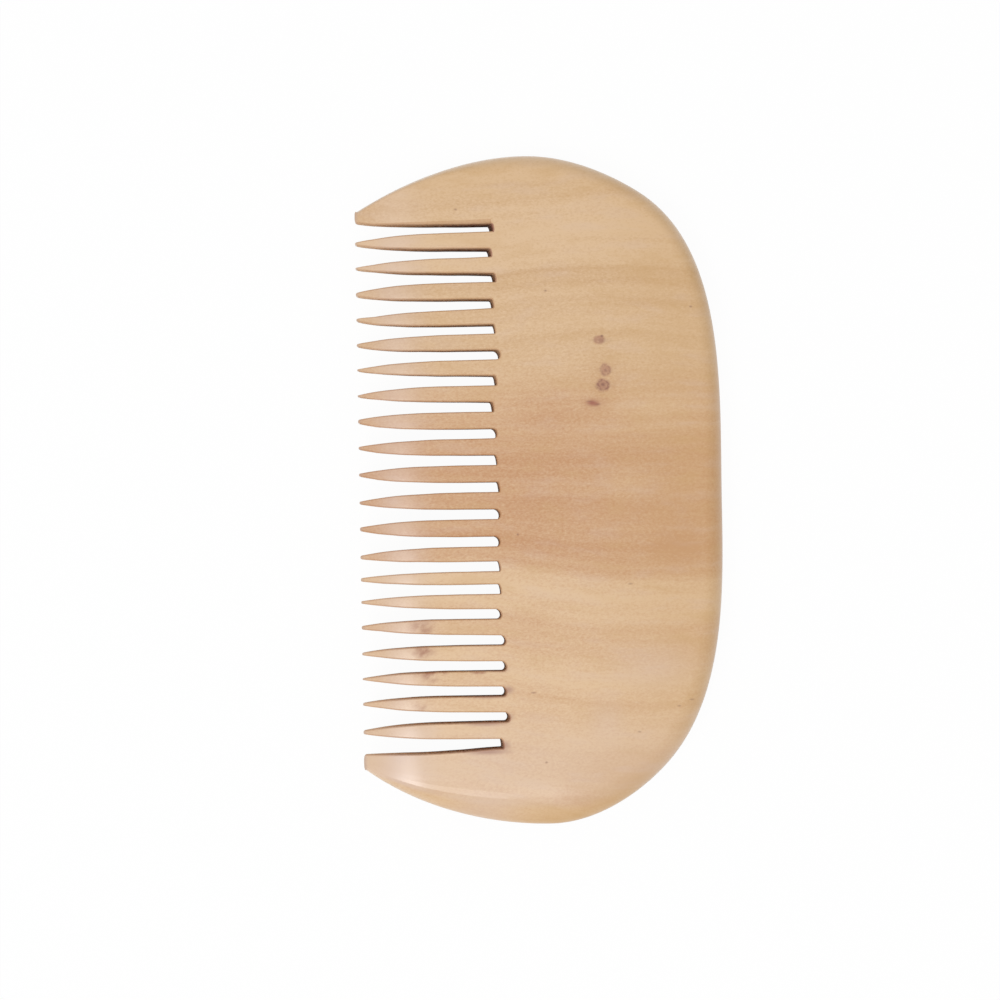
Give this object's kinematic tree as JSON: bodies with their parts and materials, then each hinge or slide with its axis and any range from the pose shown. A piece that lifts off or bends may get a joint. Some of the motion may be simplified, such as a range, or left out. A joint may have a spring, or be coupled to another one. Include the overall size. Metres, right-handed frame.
{
  "type": "wide tooth comb",
  "caption": "Palm-size wooden hair comb sawn from one board, with a rounded back and edges and a row of blunt pointed teeth between two wide guard teeth.",
  "frame": {"origin": "middle of the comb's box, on the plane of the back face that it lies on", "axes": "+X from the tooth tips to the spine, +Y along the spine, +Z through the board out of the front face"},
  "size_m": [0.0598, 0.11, 0.0085],
  "materials": {
    "wood": "satin"
  },
  "bodies": {
    "root": {"comb": "wood"}
  },
  "joints": []
}
